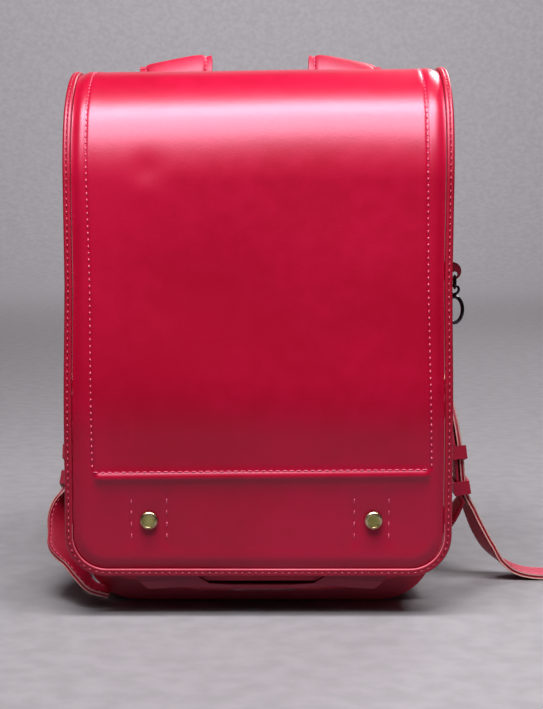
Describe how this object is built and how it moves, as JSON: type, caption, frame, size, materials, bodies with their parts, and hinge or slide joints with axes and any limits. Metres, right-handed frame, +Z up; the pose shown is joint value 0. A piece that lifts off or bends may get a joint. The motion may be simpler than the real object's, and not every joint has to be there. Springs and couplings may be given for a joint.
{
  "type": "school ransel backpack",
  "caption": "Stiff leather school backpack with a full-length front flap, studded lock tongue, padded shoulder straps and a side snap hook.",
  "frame": {"origin": "centre of the flat underside of the main compartment", "axes": "+Z up, -Y towards the front flap, +X to the right of someone facing the front"},
  "size_m": [0.3713, 0.2366, 0.3727],
  "materials": {
    "leather": "smooth semi-gloss rose-red leather",
    "binding": "folded leather edge binding, sewn",
    "backing": "soft matt perforated leather",
    "brass": "aged antique brass",
    "gunmetal": "black nickel plate"
  },
  "bodies": {
    "root": {"flap": "leather", "main_gusset": "leather", "back_panel": "leather", "main_front": "leather", "small_gusset": "leather", "small_front": "leather", "lock_tongue": "leather", "strap_plate": "leather", "chest_tab": "leather", "hook_tab": "leather", "shoulder_strap_left": "leather", "lower_belt_left": "leather", "keeper_upper_left": "leather", "keeper_lower_left": "leather", "base_tab_left": "leather", "shoulder_strap_right": "leather", "lower_belt_right": "leather", "keeper_upper_right": "leather", "keeper_lower_right": "leather", "base_tab_right": "leather", "flap_binding": "binding", "back_pad_left": "backing", "back_pad_right": "backing", "hasp_plate": "brass", "lock_plate": "brass", "rivet_left": "brass", "rivet_right": "brass", "buckle_left": "brass", "buckle_right": "brass", "base_ring_left": "brass", "base_ring_right": "brass", "strap_ring_left": "brass", "strap_ring_right": "brass", "chest_ring": "brass"},
    "hook": {"hook_link": "gunmetal", "snap_hook": "gunmetal"},
    "gate": {"hook_gate": "gunmetal"}
  },
  "joints": [
    {"name": "hook_swing", "type": "hinge", "parent": "root", "child": "hook", "pos_m": [0.1294, -0.06405, 0.2208], "axis": [0, -1, 0], "range_deg": [-10, 80]},
    {"name": "hook_gate_turn", "type": "hinge", "parent": "hook", "child": "gate", "pos_m": [0.12645, -0.06405, 0.2035], "axis": [0, -1, 0], "range_deg": [0, 20], "stiffness_Nm_per_rad": 0.004, "springref_deg": -22.92}
  ]
}
